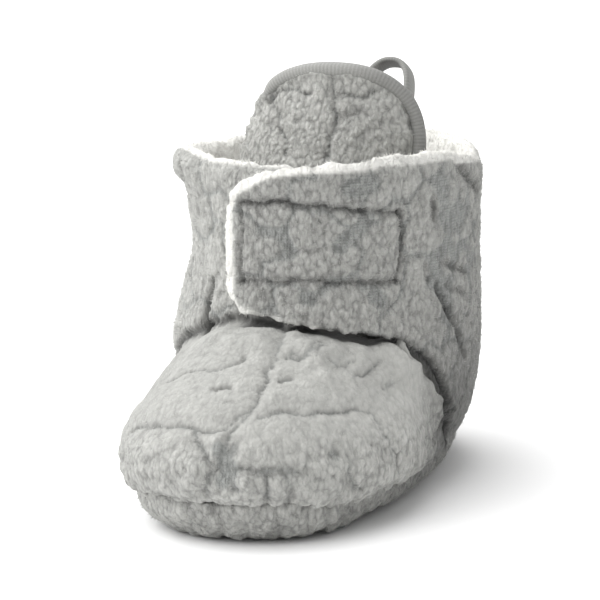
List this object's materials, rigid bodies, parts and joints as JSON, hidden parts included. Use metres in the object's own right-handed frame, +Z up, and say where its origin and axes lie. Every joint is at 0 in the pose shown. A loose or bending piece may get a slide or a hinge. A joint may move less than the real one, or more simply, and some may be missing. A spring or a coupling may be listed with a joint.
{
  "type": "baby slipper",
  "caption": "Soft grey fleece baby slipper with a high collar, wrap-over strap, rounded tongue, heel pull loop and a padded sole with six-sided rubber grips",
  "frame": {"origin": "middle of the slipper's box, on the floor plane under the grips", "axes": "-Y to the toe, +Y to the heel, +X to the outer side of the foot, +Z up"},
  "size_m": [0.0674, 0.1263, 0.0942],
  "materials": {
    "fleece": "mid grey carved pile fleece",
    "lining_fleece": "white short pile fleece",
    "rib_tape": "grey ribbed tape",
    "rubber": "matt grey rubber"
  },
  "bodies": {
    "root": {"upper": "fleece", "strap": "fleece", "tongue": "fleece", "tongue_binding": "rib_tape", "pull_loop": "rib_tape", "sole": "fleece", "insole": "lining_fleece", "grip_01": "rubber", "grip_02": "rubber", "grip_03": "rubber", "grip_04": "rubber", "grip_05": "rubber", "grip_06": "rubber", "grip_07": "rubber", "grip_08": "rubber", "grip_09": "rubber", "grip_10": "rubber", "grip_11": "rubber", "grip_12": "rubber", "grip_13": "rubber", "grip_14": "rubber", "grip_15": "rubber"}
  },
  "joints": []
}
